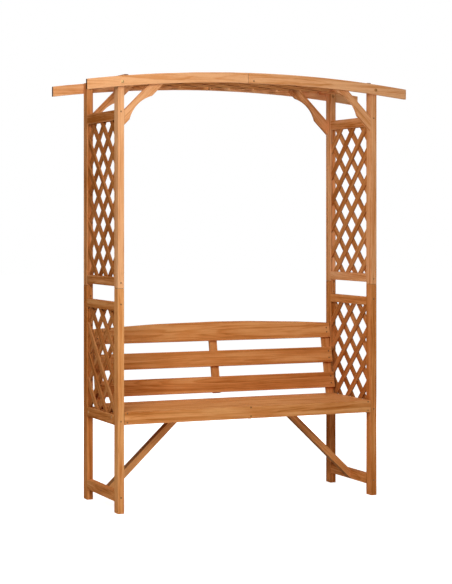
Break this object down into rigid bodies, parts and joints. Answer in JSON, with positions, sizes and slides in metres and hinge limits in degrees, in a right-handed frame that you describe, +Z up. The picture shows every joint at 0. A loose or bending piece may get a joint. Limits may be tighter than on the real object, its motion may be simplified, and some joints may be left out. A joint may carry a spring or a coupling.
{
  "type": "arbour seat",
  "caption": "Wooden garden bench between two lattice side frames, under an arched lattice roof on curved brackets.",
  "frame": {"origin": "on the ground, in the middle of the four posts", "axes": "+X along the bench to the right of someone who faces its front, +Y from front to back, +Z up"},
  "size_m": [1.586, 0.5092, 1.9575],
  "materials": {
    "frame_wood": "oiled and stained softwood, satin",
    "lattice_wood": "oiled and stained softwood slats, satin",
    "seat_wood": "oiled and stained softwood boards, satin",
    "bolt_brass": "yellow passivated steel bolts, satin"
  },
  "bodies": {
    "root": {"foot_rail_left": "frame_wood", "seat_rail_left": "frame_wood", "lower_panel_top_rail_left": "frame_wood", "upper_panel_bottom_rail_left": "frame_wood", "upper_panel_top_rail_left": "frame_wood", "lower_lattice_left": "lattice_wood", "upper_lattice_left": "lattice_wood", "lower_post_front_left": "frame_wood", "upper_post_front_left": "frame_wood", "joint_block_front_left": "frame_wood", "beam_front_left": "frame_wood", "bracket_front_left": "frame_wood", "beam_bolt_front_left": "bolt_brass", "lower_post_rear_left": "frame_wood", "upper_post_rear_left": "frame_wood", "joint_block_rear_left": "frame_wood", "beam_rear_left": "frame_wood", "bracket_rear_left": "frame_wood", "beam_bolt_rear_left": "bolt_brass", "roof_batten_left": "frame_wood", "seat_bearer_left": "frame_wood", "back_support_left": "frame_wood", "seat_brace_left": "frame_wood", "foot_rail_right": "frame_wood", "seat_rail_right": "frame_wood", "lower_panel_top_rail_right": "frame_wood", "upper_panel_bottom_rail_right": "frame_wood", "upper_panel_top_rail_right": "frame_wood", "lower_lattice_right": "lattice_wood", "upper_lattice_right": "lattice_wood", "lower_post_front_right": "frame_wood", "upper_post_front_right": "frame_wood", "joint_block_front_right": "frame_wood", "beam_front_right": "frame_wood", "bracket_front_right": "frame_wood", "beam_bolt_front_right": "bolt_brass", "lower_post_rear_right": "frame_wood", "upper_post_rear_right": "frame_wood", "joint_block_rear_right": "frame_wood", "beam_rear_right": "frame_wood", "bracket_rear_right": "frame_wood", "beam_bolt_rear_right": "bolt_brass", "roof_batten_right": "frame_wood", "seat_bearer_right": "frame_wood", "back_support_right": "frame_wood", "seat_brace_right": "frame_wood", "roof_lattice": "lattice_wood", "splice_plate_front": "frame_wood", "splice_plate_rear": "frame_wood", "seat_board_1": "seat_wood", "seat_board_2": "seat_wood", "seat_board_3": "seat_wood", "seat_board_4": "seat_wood", "seat_apron": "seat_wood", "seat_rear_rail": "frame_wood", "seat_bearer_middle": "frame_wood", "back_support_middle": "frame_wood", "back_slat_bottom": "seat_wood", "back_slat_middle": "seat_wood", "back_slat_top": "seat_wood"}
  },
  "joints": []
}
